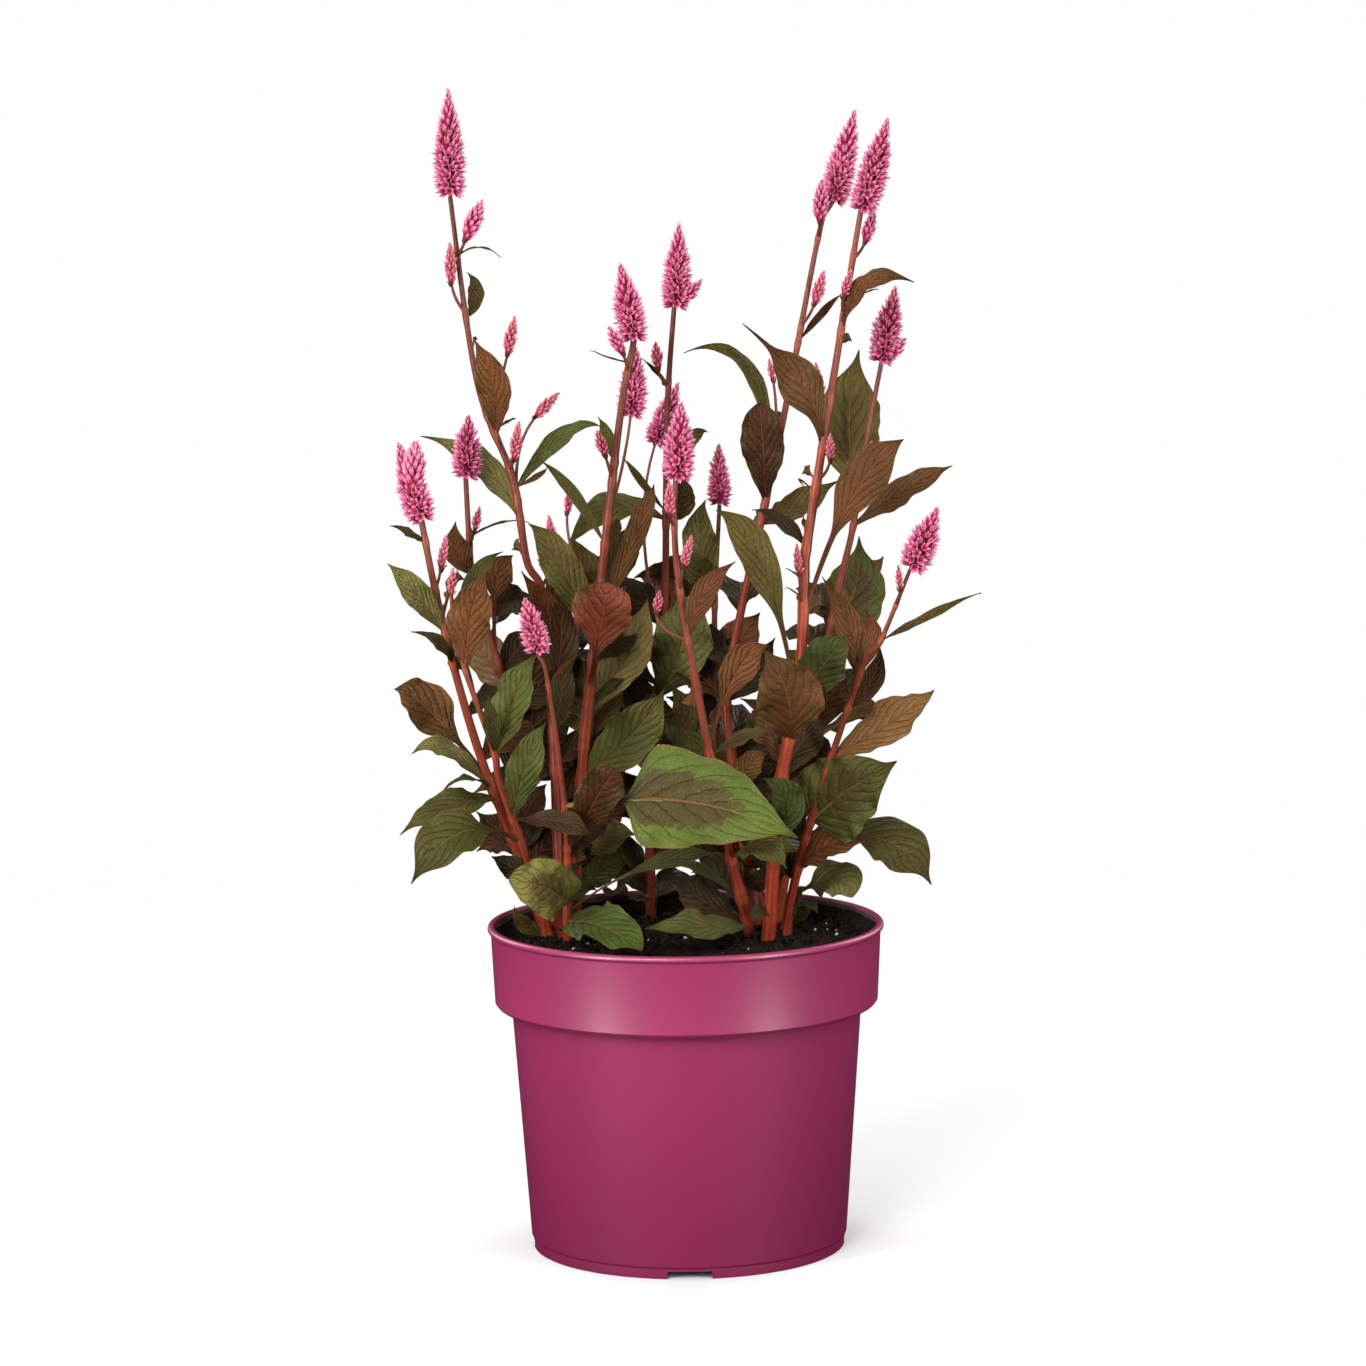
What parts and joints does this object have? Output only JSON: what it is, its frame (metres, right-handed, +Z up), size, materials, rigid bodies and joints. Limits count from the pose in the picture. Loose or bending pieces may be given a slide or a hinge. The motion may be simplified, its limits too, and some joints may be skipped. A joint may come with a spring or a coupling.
{
  "type": "potted spiked celosia",
  "caption": "Round nursery pot of soil with a bushy fan of leafy stems that carry upright conical pink flower spikes.",
  "frame": {"origin": "on the pot's axis, on the surface that the pot stands on", "axes": "+Z up along the pot's axis, -Y towards the viewer of the plant's fuller front, +X to that viewer's right"},
  "size_m": [0.2775, 0.19, 0.555],
  "materials": {
    "pot": "satin injection-moulded polypropylene",
    "soil": "dark crumbly peat mix with white perlite",
    "foliage": "satin, olive to bronze leaves on red-brown ribbed stems",
    "florets": "papery, dry, rose pink"
  },
  "bodies": {
    "root": {"pot": "pot", "soil": "soil", "stem_tall_left": "foliage", "spike_tall_left": "florets", "bud_a": "florets", "bud_b": "florets", "bud_c": "florets", "bud_d": "florets", "bud_e": "florets", "bud_i": "florets", "bud_j": "florets", "stem_double_left": "foliage", "spike_double_left": "florets", "bud_f": "florets", "stem_side_left": "foliage", "bud_g": "florets", "stem_inner_left": "foliage", "spike_inner_left": "florets", "bud_h": "florets", "stem_low_spike": "foliage", "spike_low": "florets", "stem_mid_left": "foliage", "spike_mid_left": "florets", "spike_mid_small": "florets", "bud_k": "florets", "bud_l": "florets", "bud_m": "florets", "stem_centre": "foliage", "spike_centre": "florets", "spike_back": "florets", "bud_n": "florets", "stem_front_centre": "foliage", "spike_front": "florets", "bud_o": "florets", "bud_p": "florets", "bud_q": "florets", "stem_back_centre": "foliage", "spike_back_centre": "florets", "stem_slim_right": "foliage", "spike_slim_right": "florets", "bud_r": "florets", "bud_s": "florets", "bud_t": "florets", "stem_tall_right": "foliage", "spike_tall_right": "florets", "bud_u": "florets", "bud_v": "florets", "bud_w": "florets", "bud_x": "florets", "bud_y": "florets", "stem_right": "foliage", "spike_right": "florets", "bud_z": "florets", "stem_far_right": "foliage", "spike_far_right": "florets", "bud_zz": "florets"}
  },
  "joints": []
}
